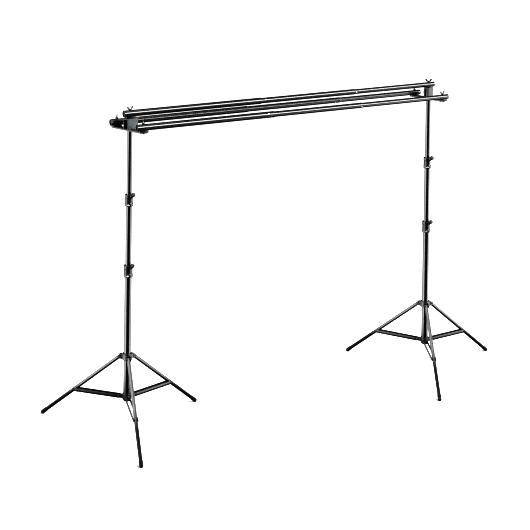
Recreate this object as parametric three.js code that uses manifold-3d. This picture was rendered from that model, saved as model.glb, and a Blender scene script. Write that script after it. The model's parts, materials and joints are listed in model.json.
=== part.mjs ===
import * as THREE from 'three';
import { mergeVertices } from 'three/addons/utils/BufferGeometryUtils.js';
import Module from 'manifold-3d';

// A background support: two light stands carry three telescopic crossbars side by side.
// Millimetres, +Z up. +X runs from the left stand to the right one, +Y to the back.

// ---- Driving dimensions ----
const COLUMN_SPACING = 1780;
const GAP = 0.3;
const ROUND = 18;
const LEG_SIDES = 12;
const SMALL_ROUND = 8;
const ARC_STEPS = 3;

// Column: three tubes, one inside the other.
const BASE_TUBE = { outer: 17.5, inner: 16, bottom: 134.3, top: 775 };
const MIDDLE_TUBE = { outer: 15, inner: 13.8, bush: 15.7, bottom: 467, top: 1127 };
const TOP_TUBE = { outer: 13, inner: 11.8, bush: 13.5, bottom: 820, top: 1520 };
const BUSH_LENGTH = 25;
const CLAMP = { halfHeight: 29, rimWall: 5.5, waistWall: 3, lowRim: 14, highRim: 13, slope: 4 };
const CLAMP_BOSS = { radius: 8, start: 6, end: 32, rise: 6, bearing: -72, tilt: 40 };
const CLAMP_KNOB = { capStart: 32.4, screwEnd: 25 };

// Tripod: legs hang from a sliding collar, braces tie them to a fixed hub.
const LEFT_TRIPOD_BEARING = -44.7;
const RIGHT_TRIPOD_BEARING = -54.6;
const LEG_BEARINGS = { inner: 60, outer: 180, front: 300 };
const COLLAR_PIVOT = { radius: 38, height: 347 };
const HUB_PIVOT = { radius: 40, height: 148 };
const FOOT_CENTRE = { radius: 452, height: 8 };
const LEG_RADIUS = 8.6;
const LEG_WALL = 1.2;
const LEG_PLUG = 14;
const LEG_SHORT_OF_FOOT = 4;
const FOOT_RADIUS = 10;
const FOOT_LENGTH = 26;
const COLLAR = { radius: 24.5, below: 13, above: 19, bore: 18 };
const COLLAR_LUG = { root: 19, radius: 10, thickness: 3, offset: 10.8 };
const COLLAR_KNOB = { bearing: 120, rise: 3, bossStart: 18, bossEnd: 30, capStart: 30.4, screwEnd: 23 };
const HUB = { radius: 21.5, above: 17, floor: 9 };
const HUB_LUG = { root: 17, radius: 8, thickness: 18, offset: 0 };
const STRAP = { width: 16, thickness: 3, inside: 9.5 };
const PIN_RADIUS = 3;
const PIN_HOLE_RADIUS = 3.4;
const RIVET = { radius: 4, head: 1.5 };

// Bracket on the column's top, swivelled about the column. Its block is a box section, open at both
// ends, around a socket for the column. The left block is the wider one, and the right one is higher
// because the bars are thinner there.
const BRACKET_SWIVEL = 24;
const BAR_REACH = 88;
const BLOCK = { depth: 34, height: 54, wall: 3.5, lip: 4, lipStep: 1, socketRadius: 16.5 };
const BLOCKS = {
  left: { width: 77, shift: 6.5, bottom: 1480 },
  right: { width: 48, shift: 2, bottom: 1485.5 },
};
const ARM = { width: 40, thickness: 6, overhang: 20 };
const SADDLE = { width: 46, depth: 22 };
const STUD_RADIUS = 4;
const STUD_HOLE_RADIUS = 4.6;
const STUD_ABOVE_BAR = 11;
const NUT_BEARINGS = {
  left: { top: -12, rear: 39, front: 39 },
  right: { top: -51, rear: 26, front: -8 },
};
const ARM_SCREW = { radius: 5.5, height: 4.5, spread: { along: 4.6, across: 8.2 } };
const LOCK_KNOB = { standoff: 1.5, radius: 8.5, length: 8 };

// Crossbars: three tubes each, the thickest at the left.
const BAR_END = 34;
const SECTION_LENGTH = 767;
const BAR_SECTIONS = {
  left: { outer: 16, inner: 14.6 },
  middle: { outer: 14, inner: 12.8 },
  right: { outer: 12.5, inner: 11.3 },
};
const TOP_BAR_HEIGHT = 1557;
const LOW_BAR_HEIGHT = 1501;
const BARS = {
  top: { reach: 0, height: TOP_BAR_HEIGHT, middleShown: 568 },
  rear: { reach: BAR_REACH, height: LOW_BAR_HEIGHT, middleShown: 560 },
  front: { reach: -BAR_REACH, height: LOW_BAR_HEIGHT, middleShown: 527 },
};

// Knobs are alike: a fluted cap on a screw.
const KNOB = { radius: 10, length: 14, flutes: 6, fluteRadius: 3, screwRadius: 3, screwHole: 3.4 };

// ---- Finishes ----
const FINISHES = {
  blackTube: { color: 0x0c0c0d, roughness: 0.25, metalness: 0.4 },
  blackPlastic: { color: 0x141415, roughness: 0.5, metalness: 0 },
  knobPlastic: { color: 0x0a0a0b, roughness: 0.4, metalness: 0 },
  strap: { color: 0x18181a, roughness: 0.35, metalness: 0.5 },
  rubber: { color: 0x0b0b0b, roughness: 0.8, metalness: 0 },
  greyBlock: { color: 0x55585b, roughness: 0.45, metalness: 0.3 },
  darkSteel: { color: 0x1b1b1d, roughness: 0.4, metalness: 0.7 },
};

// ---- Solids ----
const wasm = await Module();
wasm.setup();

function toSolid(geometry) {
  const bare = geometry.clone();
  bare.deleteAttribute('normal');
  bare.deleteAttribute('uv');
  const merged = mergeVertices(bare, 1e-4);
  const corners = merged.index.array;
  const kept = [];
  for (let i = 0; i < corners.length; i += 3) {
    const [a, b, c] = [corners[i], corners[i + 1], corners[i + 2]];
    if (a !== b && b !== c && c !== a) {
      kept.push(a, b, c);
    }
  }
  const vertProperties = new Float32Array(merged.attributes.position.array);
  const triVerts = new Uint32Array(kept);
  return new wasm.Manifold(new wasm.Mesh({ numProp: 3, vertProperties, triVerts }));
}

function toGeometry(solid) {
  const mesh = solid.getMesh();
  const geometry = new THREE.BufferGeometry();
  geometry.setAttribute('position', new THREE.BufferAttribute(new Float32Array(mesh.vertProperties), 3));
  geometry.setIndex(new THREE.BufferAttribute(new Uint32Array(mesh.triVerts), 1));
  geometry.computeVertexNormals();
  return geometry;
}

function join(...geometries) {
  return toGeometry(geometries.map(toSolid).reduce((whole, next) => whole.add(next)));
}

function cut(geometry, ...tools) {
  return toGeometry(tools.map(toSolid).reduce((rest, tool) => rest.subtract(tool), toSolid(geometry)));
}

// A round bar along Z between two heights.
function rod(radius, from, to, segments = ROUND) {
  const geometry = new THREE.CylinderGeometry(radius, radius, to - from, segments);
  geometry.rotateX(Math.PI / 2);
  geometry.translate(0, 0, (from + to) / 2);
  return geometry;
}

// A block centred on the Z axis between two heights.
function slab(width, depth, from, to) {
  const geometry = new THREE.BoxGeometry(width, depth, to - from);
  geometry.translate(0, 0, (from + to) / 2);
  return geometry;
}

// A profile of [radius, height] points turned about Z.
function turned(profile, segments = ROUND) {
  const points = profile.map(([radius, height]) => new THREE.Vector2(radius, height));
  const geometry = new THREE.LatheGeometry(points, segments);
  geometry.rotateX(Math.PI / 2);
  return toGeometry(toSolid(geometry));
}

function tube(outer, inner, from, to, segments = ROUND) {
  return turned([[inner, from], [outer, from], [outer, to], [inner, to], [inner, from]], segments);
}

// Lays a shape made along Z on another axis.
function alongX(geometry) {
  return geometry.rotateY(Math.PI / 2);
}

function alongY(geometry) {
  return geometry.rotateX(-Math.PI / 2);
}

// An outline in the XZ plane made into a plate centred on y = 0.
function plate(outline, thickness) {
  const options = { depth: thickness, bevelEnabled: false, curveSegments: ARC_STEPS };
  const geometry = new THREE.ExtrudeGeometry(outline, options);
  geometry.translate(0, 0, -thickness / 2);
  geometry.rotateX(Math.PI / 2);
  return geometry;
}

function piece(name, geometry, finish) {
  const mesh = new THREE.Mesh(geometry, new THREE.MeshStandardMaterial(FINISHES[finish]));
  mesh.name = name;
  return mesh;
}

function turnedGroup(degrees, ...children) {
  const group = new THREE.Group();
  group.rotation.z = THREE.MathUtils.degToRad(degrees);
  group.add(...children);
  return group;
}

// ---- Column ----
function slidingTube({ outer, inner, bush, bottom, top }) {
  const shoulder = bottom + BUSH_LENGTH;
  return turned([
    [inner, bottom], [bush, bottom], [bush, shoulder], [outer, shoulder],
    [outer, top], [inner, top], [inner, bottom],
  ]);
}

// A clamp grips the tube below, and holds the thinner tube that slides in it.
function clampBody(below, above) {
  const middle = below.top;
  const low = middle - CLAMP.halfHeight;
  const high = middle + CLAMP.halfHeight;
  const rim = below.outer + CLAMP.rimWall;
  const waist = below.outer + CLAMP.waistWall;
  const lowRim = low + CLAMP.lowRim;
  const highRim = high - CLAMP.highRim;
  const body = turned([
    [0, low], [rim, low], [rim, lowRim], [waist, lowRim + CLAMP.slope],
    [waist, highRim - CLAMP.slope], [rim, highRim], [rim, high], [0, high],
  ]);
  const boss = onKnobAxis(rod(CLAMP_BOSS.radius, CLAMP_BOSS.start, CLAMP_BOSS.end, SMALL_ROUND), middle);
  const lowerBore = rod(below.outer + GAP, low - 1, middle + GAP);
  const upperBore = rod(above.outer + GAP, middle, high + 20);
  const hole = rod(KNOB.screwHole, CLAMP_KNOB.screwEnd - 1, CLAMP_BOSS.end + 1, SMALL_ROUND);
  return cut(join(body, boss), lowerBore, upperBore, onKnobAxis(hole, middle));
}

// Puts a shape made along Z on the slanted axis of a clamp's knob.
function onKnobAxis(geometry, clampHeight) {
  geometry.rotateY(THREE.MathUtils.degToRad(90 - CLAMP_BOSS.tilt));
  geometry.rotateZ(THREE.MathUtils.degToRad(CLAMP_BOSS.bearing));
  geometry.translate(0, 0, clampHeight + CLAMP_BOSS.rise);
  return geometry;
}

function clampKnob(below) {
  return onKnobAxis(knob(CLAMP_KNOB.capStart, CLAMP_KNOB.screwEnd), below.top);
}

// A fluted knob along Z: its cap starts at capStart and its screw reaches back to screwEnd.
function knob(capStart, screwEnd, radius = KNOB.radius, length = KNOB.length) {
  const cap = rod(radius, capStart, capStart + length, 18);
  const flutes = [];
  for (let i = 0; i < KNOB.flutes; i += 1) {
    const angle = (i + 0.5) * 2 * Math.PI / KNOB.flutes;
    const flute = rod(KNOB.fluteRadius, capStart - 1, capStart + length + 1, 8);
    flute.translate(Math.cos(angle) * (radius + 1), Math.sin(angle) * (radius + 1), 0);
    flutes.push(flute);
  }
  return join(cut(cap, ...flutes), rod(KNOB.screwRadius, screwEnd, capStart + 1, SMALL_ROUND));
}

function column(side) {
  const { outer, inner, bottom, top } = BASE_TUBE;
  return [
    piece(`${side}_base_tube`, tube(outer, inner, bottom, top), 'blackTube'),
    piece(`${side}_middle_tube`, slidingTube(MIDDLE_TUBE), 'blackTube'),
    piece(`${side}_top_tube`, slidingTube(TOP_TUBE), 'blackTube'),
    piece(`${side}_lower_clamp`, clampBody(BASE_TUBE, MIDDLE_TUBE), 'blackPlastic'),
    piece(`${side}_upper_clamp`, clampBody(MIDDLE_TUBE, TOP_TUBE), 'blackPlastic'),
    piece(`${side}_lower_clamp_knob`, clampKnob(BASE_TUBE), 'knobPlastic'),
    piece(`${side}_upper_clamp_knob`, clampKnob(MIDDLE_TUBE), 'knobPlastic'),
  ];
}

// ---- Tripod, each leg drawn in the XZ plane on the +X side ----
const LEG_RUN = FOOT_CENTRE.radius - COLLAR_PIVOT.radius;
const LEG_DROP = COLLAR_PIVOT.height - FOOT_CENTRE.height;
const LEG_LENGTH = Math.hypot(LEG_RUN, LEG_DROP);
const LEG_SLOPE = Math.atan2(LEG_RUN, LEG_DROP);
const BRACE_RISE = COLLAR_PIVOT.height - HUB_PIVOT.height;
const BRACE_END_RADIUS = COLLAR_PIVOT.radius + BRACE_RISE * Math.tan(LEG_SLOPE);

// Turns a shape made along Z so that it points down the leg from the collar's pivot.
function downLeg(geometry) {
  geometry.rotateY(Math.PI - LEG_SLOPE);
  geometry.translate(COLLAR_PIVOT.radius, 0, COLLAR_PIVOT.height);
  return geometry;
}

function crossPin(radius, halfLength, pivot) {
  const pin = alongY(rod(radius, -halfLength, halfLength, SMALL_ROUND));
  pin.translate(pivot.radius, 0, pivot.height);
  return pin;
}

// A round end on the pin, closed by a plug, then open tube down to the foot.
function legTube() {
  const end = LEG_LENGTH - LEG_SHORT_OF_FOOT;
  const outer = LEG_RADIUS;
  const inner = LEG_RADIUS - LEG_WALL;
  const body = turned([
    [0, -outer], [0.55 * outer, -0.83 * outer], [0.88 * outer, -0.47 * outer], [outer, 0],
    [outer, end], [inner, end], [inner, LEG_PLUG], [0, LEG_PLUG],
  ], LEG_SIDES);
  return cut(downLeg(body), crossPin(PIN_HOLE_RADIUS, 12, COLLAR_PIVOT));
}

function footCap() {
  const start = LEG_LENGTH - FOOT_LENGTH;
  const shell = rod(FOOT_RADIUS, start, LEG_LENGTH, LEG_SIDES);
  const toe = new THREE.SphereGeometry(FOOT_RADIUS, LEG_SIDES, 8);
  toe.rotateX(Math.PI / 2);
  toe.translate(0, 0, LEG_LENGTH);
  const socket = rod(LEG_RADIUS + GAP, start - 1, LEG_LENGTH - LEG_SHORT_OF_FOOT + GAP, LEG_SIDES);
  const ground = slab(80, 80, -40, 0);
  ground.translate(FOOT_CENTRE.radius, 0, 0);
  return cut(downLeg(cut(join(shell, toe), socket)), ground);
}

// A lug that reaches out from its root by the column to a round end about a pivot.
function lug(pivot, { root, radius, thickness, offset }) {
  const outline = new THREE.Shape();
  outline.moveTo(root, pivot.height - radius);
  outline.lineTo(pivot.radius, pivot.height - radius);
  outline.absarc(pivot.radius, pivot.height, radius, -Math.PI / 2, Math.PI / 2, false);
  outline.lineTo(root, pivot.height + radius);
  outline.closePath();
  const body = plate(outline, thickness);
  body.translate(0, offset, 0);
  return body;
}

// Repeats the shapes that make() gives, once for each leg.
function aroundColumn(make) {
  const repeated = [];
  for (const bearing of Object.values(LEG_BEARINGS)) {
    for (const shape of make()) {
      repeated.push(shape.rotateZ(THREE.MathUtils.degToRad(bearing)));
    }
  }
  return repeated;
}

// Puts a shape made along Z on the level axis of the leg collar's knob.
function onCollarKnobAxis(geometry) {
  alongX(geometry);
  geometry.rotateZ(THREE.MathUtils.degToRad(COLLAR_KNOB.bearing));
  geometry.translate(0, 0, COLLAR_PIVOT.height + COLLAR_KNOB.rise);
  return geometry;
}

function legCollar() {
  const low = COLLAR_PIVOT.height - COLLAR.below;
  const high = COLLAR_PIVOT.height + COLLAR.above;
  const outer = COLLAR.radius;
  const ring = turned([
    [0, low], [outer - 1.5, low], [outer, low + 2], [outer, high - 3], [outer - 2, high], [0, high],
  ]);
  const ears = aroundColumn(() => [
    lug(COLLAR_PIVOT, COLLAR_LUG),
    lug(COLLAR_PIVOT, { ...COLLAR_LUG, offset: -COLLAR_LUG.offset }),
    crossPin(PIN_RADIUS, 12.2, COLLAR_PIVOT),
  ]);
  const { bossStart, bossEnd, screwEnd } = COLLAR_KNOB;
  const boss = onCollarKnobAxis(rod(8, bossStart, bossEnd, SMALL_ROUND));
  const screwHole = onCollarKnobAxis(rod(KNOB.screwHole, screwEnd - 1, bossEnd + 1, SMALL_ROUND));
  const bore = rod(COLLAR.bore, low - 1, high + 1);
  return cut(join(ring, ...ears, boss), bore, screwHole);
}

function collarKnob() {
  return onCollarKnobAxis(knob(COLLAR_KNOB.capStart, COLLAR_KNOB.screwEnd));
}

function braceHub() {
  const seat = BASE_TUBE.bottom - GAP;
  const low = seat - HUB.floor;
  const high = HUB_PIVOT.height + HUB.above;
  const outer = HUB.radius;
  const cup = turned([
    [0, low], [9, low + 1], [16, low + 5], [20, seat + 1], [outer, seat + 5], [outer, high], [0, high],
  ]);
  const lugs = aroundColumn(() => [lug(HUB_PIVOT, HUB_LUG)]);
  const holes = aroundColumn(() => [crossPin(PIN_HOLE_RADIUS, 12, HUB_PIVOT)]);
  const socket = rod(BASE_TUBE.outer + GAP, seat, high + 1);
  return cut(join(cup, ...lugs), socket, ...holes);
}

// Two flat straps, joined at the hub end by the pin that turns in the hub's lug.
function brace() {
  const halfWidth = STRAP.width / 2;
  const outline = new THREE.Shape();
  outline.absarc(HUB_PIVOT.radius, HUB_PIVOT.height, halfWidth, Math.PI / 2, 3 * Math.PI / 2, false);
  outline.absarc(BRACE_END_RADIUS, HUB_PIVOT.height, halfWidth, -Math.PI / 2, Math.PI / 2, false);
  outline.closePath();
  const outside = STRAP.inside + STRAP.thickness;
  const shapes = [crossPin(PIN_RADIUS, outside + RIVET.head, HUB_PIVOT)];
  for (const side of [-1, 1]) {
    const strap = plate(outline, STRAP.thickness);
    strap.translate(0, side * (STRAP.inside + STRAP.thickness / 2), 0);
    const rivet = alongY(rod(RIVET.radius, outside - 0.5, outside + RIVET.head, SMALL_ROUND));
    rivet.rotateZ(side > 0 ? 0 : Math.PI);
    rivet.translate(BRACE_END_RADIUS, 0, HUB_PIVOT.height);
    shapes.push(strap, rivet);
  }
  return join(...shapes);
}

function tripod(side, bearing) {
  const legs = Object.entries(LEG_BEARINGS).map(([name, angle]) => turnedGroup(
    angle,
    piece(`${side}_${name}_leg`, legTube(), 'blackTube'),
    piece(`${side}_${name}_foot`, footCap(), 'rubber'),
    piece(`${side}_${name}_brace`, brace(), 'strap'),
  ));
  return turnedGroup(
    bearing,
    piece(`${side}_leg_collar`, legCollar(), 'blackPlastic'),
    piece(`${side}_leg_collar_knob`, collarKnob(), 'knobPlastic'),
    piece(`${side}_brace_hub`, braceHub(), 'blackPlastic'),
    ...legs,
  );
}

// ---- Bracket ----
// A saddle turned to lie along its bar, and the stud that stands up through the bar.
function barSeat(seatHeight, barHeight, barRadius, reach) {
  const saddle = slab(SADDLE.width, SADDLE.depth, seatHeight - 1, barHeight - barRadius - GAP);
  saddle.rotateZ(THREE.MathUtils.degToRad(-BRACKET_SWIVEL));
  const stud = rod(STUD_RADIUS, seatHeight - 2, barHeight + barRadius + STUD_ABOVE_BAR, SMALL_ROUND);
  for (const shape of [saddle, stud]) {
    shape.translate(0, reach, 0);
  }
  return [saddle, stud];
}

function bracketBlock(side, barRadius) {
  const { width, shift, bottom } = BLOCKS[side];
  const { depth, height, wall, lip, lipStep, socketRadius } = BLOCK;
  const top = bottom + height;
  const core = slab(width - 2 * lipStep, depth - 2 * lipStep, bottom, top);
  const lowLip = slab(width, depth, bottom, bottom + lip);
  const highLip = slab(width, depth, top - lip, top);
  const hollow = slab(width + 2, depth - 2 * lipStep - 2 * wall, bottom + lip, top - lip);
  for (const shape of [core, lowLip, highLip, hollow]) {
    shape.translate(shift, 0, 0);
  }
  const aroundSocket = cut(hollow, rod(socketRadius, bottom, top));
  const socket = rod(TOP_TUBE.outer + GAP, bottom - 1, TOP_TUBE.top + GAP);
  const screwHole = onLockKnobAxis(rod(KNOB.screwHole, 10, depth / 2 + 1, SMALL_ROUND), bottom);
  return cut(
    join(core, lowLip, highLip, ...barSeat(top, TOP_BAR_HEIGHT, barRadius, 0)),
    aroundSocket,
    socket,
    screwHole,
  );
}

function bracketArm(side, barRadius) {
  const top = BLOCKS[side].bottom - GAP;
  const bottom = top - ARM.thickness;
  const flat = slab(ARM.width, 2 * (BAR_REACH + ARM.overhang), bottom, top);
  const { radius, height, spread } = ARM_SCREW;
  const shapes = [flat];
  for (const reach of [-BAR_REACH, BAR_REACH]) {
    shapes.push(...barSeat(top, LOW_BAR_HEIGHT, barRadius, reach));
    for (const way of [-1, 1]) {
      const screwHead = rod(radius, bottom - height, bottom + 0.5, 6);
      screwHead.translate(way * spread.along, reach - way * spread.across, 0);
      shapes.push(screwHead);
    }
  }
  return cut(join(...shapes), rod(TOP_TUBE.outer + GAP, bottom - 1, top + 1));
}

// Puts a shape made along Z on the axis of the knob at the block's back.
function onLockKnobAxis(geometry, blockBottom) {
  alongY(geometry);
  geometry.translate(0, 0, blockBottom + BLOCK.height / 2);
  return geometry;
}

function lockKnob(side) {
  const { standoff, radius, length } = LOCK_KNOB;
  const shape = knob(BLOCK.depth / 2 + standoff, TOP_TUBE.outer + 2 * GAP, radius, length);
  return onLockKnobAxis(shape, BLOCKS[side].bottom);
}

// A wing nut with its foot at z = 0 and its wings spread along X.
function wingNut() {
  const hub = rod(7, 0, 8, 12);
  const wings = [-1, 1].map((side) => {
    const outline = new THREE.Shape();
    outline.moveTo(3, 1);
    outline.lineTo(8.5, 1);
    outline.lineTo(17, 13);
    outline.absarc(13.8, 15.2, 3.9, -0.6, 2.2, false);
    outline.lineTo(3, 8);
    outline.closePath();
    const wing = plate(outline, 3);
    return side > 0 ? wing : wing.rotateZ(Math.PI);
  });
  return cut(join(hub, ...wings), rod(STUD_RADIUS + 0.4, -1, 12, SMALL_ROUND));
}

function bracket(side, barRadius) {
  const nuts = Object.entries(BARS).map(([name, bar]) => {
    const nut = piece(`${side}_${name}_wing_nut`, wingNut(), 'darkSteel');
    nut.rotation.z = THREE.MathUtils.degToRad(NUT_BEARINGS[side][name]);
    nut.position.set(0, bar.reach, bar.height + barRadius + 0.5);
    return nut;
  });
  return turnedGroup(
    BRACKET_SWIVEL,
    piece(`${side}_bracket_block`, bracketBlock(side, barRadius), 'greyBlock'),
    piece(`${side}_bracket_arm`, bracketArm(side, barRadius), 'darkSteel'),
    piece(`${side}_bracket_lock_knob`, lockKnob(side), 'knobPlastic'),
    ...nuts,
  );
}

// ---- Crossbars ----
// A bar runs along X past both columns, set off from them by the swivelled brackets.
function crossbar(name, { reach, height, middleShown }) {
  const swivel = THREE.MathUtils.degToRad(BRACKET_SWIVEL);
  const leftEnd = -COLUMN_SPACING / 2 - BAR_END;
  const rightEnd = -leftEnd;
  const middleEnd = leftEnd + SECTION_LENGTH + middleShown;
  const starts = { left: leftEnd, middle: middleEnd - SECTION_LENGTH, right: rightEnd - SECTION_LENGTH };
  const studPlaces = { left: leftEnd + BAR_END, right: rightEnd - BAR_END };
  return Object.entries(BAR_SECTIONS).map(([section, { outer, inner }]) => {
    let shape = alongX(tube(outer, inner, starts[section], starts[section] + SECTION_LENGTH));
    if (section in studPlaces) {
      const hole = rod(STUD_HOLE_RADIUS, -outer - 1, outer + 1, SMALL_ROUND);
      hole.translate(studPlaces[section], 0, 0);
      shape = cut(shape, hole);
    }
    const mesh = piece(`${name}_bar_${section}_section`, shape, 'blackTube');
    mesh.position.set(-reach * Math.sin(swivel), reach * Math.cos(swivel), height);
    return mesh;
  });
}

// ---- Assembly ----
function stand(side, x, tripodBearing, barRadius) {
  const group = new THREE.Group();
  group.add(tripod(side, tripodBearing), ...column(side), bracket(side, barRadius));
  group.position.x = x;
  return group;
}

const assembly = new THREE.Group();
assembly.add(
  stand('left', -COLUMN_SPACING / 2, LEFT_TRIPOD_BEARING, BAR_SECTIONS.left.outer),
  stand('right', COLUMN_SPACING / 2, RIGHT_TRIPOD_BEARING, BAR_SECTIONS.right.outer),
  ...Object.entries(BARS).flatMap(([name, bar]) => crossbar(name, bar)),
);

// The origin is on the floor, under the middle of the whole object.
const support = new THREE.Group();
support.add(assembly);
support.updateMatrixWorld(true);
const middle = new THREE.Box3().setFromObject(assembly, true).getCenter(new THREE.Vector3());
assembly.position.set(-middle.x, -middle.y, 0);

export default support;
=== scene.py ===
"""Looks of a background support: two light stands that carry three telescopic crossbars.

Every piece is built in millimetres in a frame of its own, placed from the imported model's boxes and
joints, and rides on the CAD body that it belongs to.
"""
import json
import math

import bmesh
import bpy
from mathutils import Matrix, Vector


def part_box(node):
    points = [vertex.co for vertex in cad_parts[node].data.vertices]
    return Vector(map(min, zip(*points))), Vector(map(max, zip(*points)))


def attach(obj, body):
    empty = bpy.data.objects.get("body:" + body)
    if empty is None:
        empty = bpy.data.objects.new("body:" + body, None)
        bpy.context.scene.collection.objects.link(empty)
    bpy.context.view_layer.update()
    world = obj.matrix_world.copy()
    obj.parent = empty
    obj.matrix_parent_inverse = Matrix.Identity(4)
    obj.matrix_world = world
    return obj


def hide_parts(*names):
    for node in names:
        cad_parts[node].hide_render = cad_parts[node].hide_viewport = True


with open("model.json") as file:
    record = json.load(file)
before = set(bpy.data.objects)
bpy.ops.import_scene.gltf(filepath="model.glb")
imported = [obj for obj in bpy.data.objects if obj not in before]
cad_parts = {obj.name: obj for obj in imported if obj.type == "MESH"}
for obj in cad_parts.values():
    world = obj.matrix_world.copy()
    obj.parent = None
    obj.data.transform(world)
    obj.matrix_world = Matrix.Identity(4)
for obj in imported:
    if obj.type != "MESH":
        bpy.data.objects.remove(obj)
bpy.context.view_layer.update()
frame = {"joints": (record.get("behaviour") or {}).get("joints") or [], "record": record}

MM = 0.001
SIDES = ("left", "right")
BARS = ("top", "rear", "front")
JOINTS = {joint["name"]: joint for joint in frame["joints"]}
STAND_UP = Matrix.Rotation(math.radians(90), 4, "X")
ALONG_X = Matrix(((0, 0, 1, 0), (1, 0, 0, 0), (0, 1, 0, 0), (0, 0, 0, 1)))


# ---------------------------------------------------------------- places read from the frame

def centre_of(node):
    low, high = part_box(node)
    return (low + high) / 2


def axis_of(joint):
    return Vector(JOINTS[joint]["axis"]).normalized()


def pivot_of(joint):
    return Vector(JOINTS[joint]["pos_m"])


def facing(direction, place, up=(0, 0, 1)):
    """A matrix that lays local Z along direction and keeps local X level where it can."""
    forward = Vector(direction).normalized()
    side = Vector(up).cross(forward)
    side = side.normalized() if side.length > 1e-6 else Vector((1, 0, 0))
    turn = Matrix((side, forward.cross(side), forward)).transposed().to_4x4()
    return Matrix.Translation(place) @ turn


def bearing(degrees, place=(0, 0, 0)):
    return Matrix.Translation(place) @ Matrix.Rotation(math.radians(degrees), 4, "Z")


# ---------------------------------------------------------------- mesh helpers (millimetres)

POLE_RADIUS = 0.01
CREASE = 35


def finish_mesh(name, bm, crease=CREASE):
    """Turns a bmesh in millimetres into a mesh in metres, smooth but for edges over crease degrees."""
    bmesh.ops.recalc_face_normals(bm, faces=bm.faces)
    bmesh.ops.scale(bm, vec=(MM, MM, MM), verts=bm.verts)
    mesh = bpy.data.meshes.new(name)
    bm.to_mesh(mesh)
    bm.free()
    mesh.shade_smooth()
    mesh.set_sharp_from_angle(angle=math.radians(crease))
    return mesh


def add_rings(bm, rings, closed_profile=False):
    """Skins a list of rings of points. The ends are capped, or the last ring joins the first."""
    loops = [[bm.verts.new(point) for point in ring] for ring in rings]
    count = len(loops[0])
    pairs = list(zip(loops, loops[1:]))
    if closed_profile:
        pairs.append((loops[-1], loops[0]))
    for low, high in pairs:
        for i in range(count):
            j = (i + 1) % count
            bm.faces.new((low[i], low[j], high[j], high[i]))
    if not closed_profile:
        bm.faces.new(list(reversed(loops[0])))
        bm.faces.new(loops[-1])


def circle(radius, height, segments, wave=None):
    """A ring of points. wave gives what is added to the radius at an angle."""
    points = []
    for i in range(segments):
        angle = 2 * math.pi * i / segments
        reach = radius + (wave(angle) if wave else 0)
        points.append((reach * math.cos(angle), reach * math.sin(angle), height))
    return points


def arc(centre, radius, angles):
    """Points on a circle at a run of angles in degrees."""
    x, y = centre
    turns = [math.radians(angle) for angle in angles]
    return [(x + radius * math.cos(turn), y + radius * math.sin(turn)) for turn in turns]


def add_turned(bm, profile, segments=64, closed_profile=False):
    """A profile of (radius, height) points turned about Z. Points on the axis become a tiny ring."""
    add_rings(bm, [circle(max(r, POLE_RADIUS), z, segments) for r, z in profile], closed_profile)


def lathe(name, profile, segments=64, crease=CREASE, closed_profile=False):
    bm = bmesh.new()
    add_turned(bm, profile, segments, closed_profile)
    return finish_mesh(name, bm, crease)


def rounded_profile(profile, radius, steps=3):
    """Rounds the inner corners of an open profile of (radius, height) points."""
    points = [Vector(profile[0])]
    for before, corner, after in zip(profile, profile[1:], profile[2:]):
        corner = Vector(corner)
        back, on = Vector(before) - corner, Vector(after) - corner
        cut = min(radius, back.length * 0.45, on.length * 0.45)
        start, end = corner + back.normalized() * cut, corner + on.normalized() * cut
        for step in range(steps + 1):
            t = step / steps
            points.append(start * (1 - t) ** 2 + corner * 2 * t * (1 - t) + end * t * t)
    points.append(Vector(profile[-1]))
    return [tuple(p) for p in points]


def turned(name, profile, segments=64, edge=0.4):
    """A solid of revolution with rounded corners, from a profile that starts and ends on the axis."""
    return lathe(name, rounded_profile(profile, edge), segments)


def tube(name, outer, inner, bottom, top, segments=96, lip=0.35):
    """An open tube with eased lips."""
    profile = [
        (inner, bottom + lip), (inner + lip, bottom), (outer - lip, bottom), (outer, bottom + lip),
        (outer, top - lip), (outer - lip, top), (inner + lip, top), (inner, top - lip),
    ]
    return lathe(name, profile, segments, closed_profile=True)


def rectangle(width, depth, corner=2.0, arc_steps=4):
    """The outline of a rectangle with rounded corners."""
    points = []
    for sx, sy, start in ((1, 1, 0), (-1, 1, 90), (-1, -1, 180), (1, -1, 270)):
        centre = (sx * (width / 2 - corner), sy * (depth / 2 - corner))
        points += arc(centre, corner, [start + 90 * step / arc_steps for step in range(arc_steps + 1)])
    return points


def add_prism(bm, outline, bottom, top, edge=0.5, matrix=None):
    """An outline in XY stood up along Z, with its top and bottom edges eased."""
    middle = Vector((sum(x for x, _ in outline), sum(y for _, y in outline))) / len(outline)

    def ring(height, inset):
        result = []
        for x, y in outline:
            out = Vector((x, y)) - middle
            place = middle + out * max(0.0, 1 - inset / max(out.length, 0.1))
            result.append((place.x, place.y, height))
        return result

    levels = [(bottom, edge), (bottom + 0.3 * edge, 0.3 * edge), (bottom + edge, 0)]
    levels += [(top - edge, 0), (top - 0.3 * edge, 0.3 * edge), (top, edge)]
    first = len(bm.verts)
    add_rings(bm, [ring(height, inset) for height, inset in levels])
    move_new(bm, first, matrix)


def move_new(bm, first, matrix):
    """Moves the vertices that were added since there were first of them."""
    if matrix is not None:
        bm.verts.ensure_lookup_table()
        bmesh.ops.transform(bm, matrix=matrix, verts=bm.verts[first:])


def object_from(name, data):
    made = bpy.data.objects.new(name, data)
    bpy.context.scene.collection.objects.link(made)
    return made


def heap(name, builders):
    """An object of several solids side by side in one mesh."""
    bm = bmesh.new()
    for build in builders:
        build(bm)
    return object_from(name, finish_mesh(name, bm))


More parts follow.
